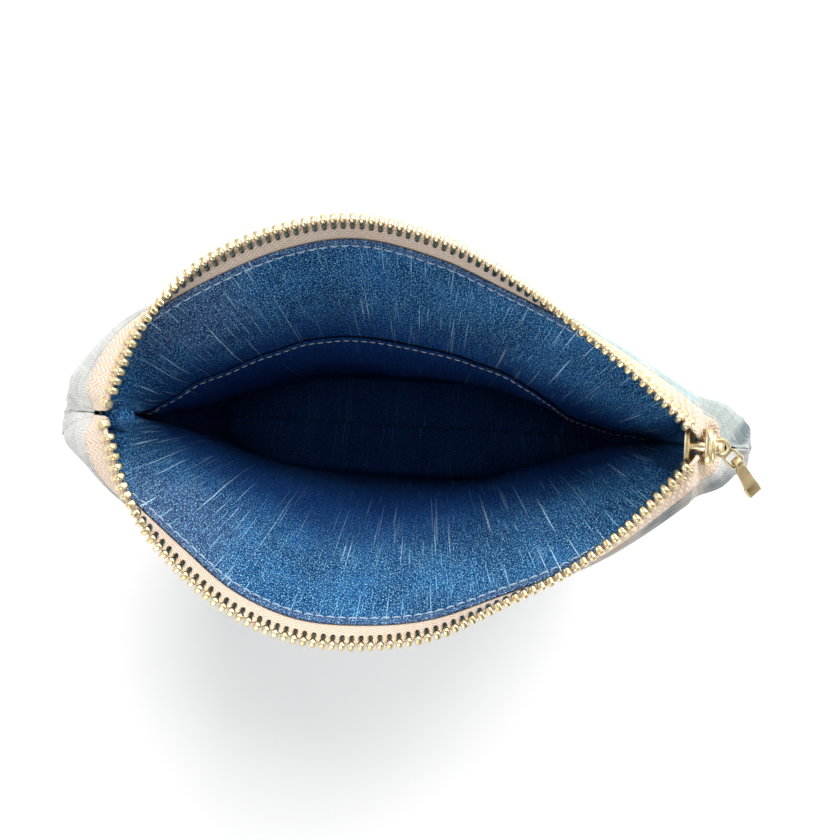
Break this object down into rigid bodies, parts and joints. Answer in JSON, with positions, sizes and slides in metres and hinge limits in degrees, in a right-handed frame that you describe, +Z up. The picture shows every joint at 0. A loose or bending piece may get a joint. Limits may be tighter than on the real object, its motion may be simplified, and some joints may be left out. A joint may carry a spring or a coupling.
{
  "type": "zippered pouch",
  "caption": "Lined cloth pouch with a metal zip across its top, open mouth, slip pocket inside and a boxed base to stand on.",
  "frame": {"origin": "on the surface the pouch stands on, under the middle of its overall box", "axes": "+X along the zip towards the end where the slider rests, +Y towards the wall with the slip pocket, +Z up out of the mouth"},
  "size_m": [0.1861, 0.1158, 0.1431],
  "materials": {
    "outer_cloth": "plain linen-look weave, pale print",
    "fleece": "soft needled fleece",
    "lining_cloth": "slubbed denim-look cotton",
    "zip_tape": "herringbone polyester tape",
    "zip_metal": "pale polished gold plate"
  },
  "bodies": {
    "pouch": {"outer_back_panel": "outer_cloth", "outer_front_panel": "outer_cloth", "fleece_back": "fleece", "fleece_front": "fleece", "lining_back_panel": "lining_cloth", "lining_front_panel": "lining_cloth", "slip_pocket": "lining_cloth", "zip_tape_back": "zip_tape", "zip_tape_front": "zip_tape", "zip_teeth_back": "zip_metal", "zip_teeth_front": "zip_metal", "top_stop_back": "zip_metal", "top_stop_front": "zip_metal", "bottom_stop": "zip_metal"},
    "slider": {"slider_body": "zip_metal"},
    "link": {"pull_link": "zip_metal"},
    "tab": {"pull_tab": "zip_metal"}
  },
  "joints": [
    {"name": "slider_travel", "type": "hinge", "parent": "pouch", "child": "slider", "pos_m": [-0.00014, 0.00147, 0.0232], "axis": [0, -1, 0], "range_deg": [0, 65], "deforming": ["outer_back_panel", "outer_front_panel", "fleece_back", "fleece_front", "lining_back_panel", "lining_front_panel", "slip_pocket", "zip_tape_back", "zip_tape_front", "zip_teeth_back", "zip_teeth_front", "top_stop_back", "top_stop_front"]},
    {"name": "link_swing", "type": "hinge", "parent": "slider", "child": "link", "pos_m": [0.07984, 0.00147, 0.13701], "axis": [-0.4226, 0, 0.9063], "range_deg": [-35, 110]},
    {"name": "tab_flip", "type": "hinge", "parent": "link", "child": "tab", "pos_m": [0.08419, -0.00205, 0.13701], "axis": [0.7071, 0.7071, 0], "range_deg": [-117, 25]}
  ]
}
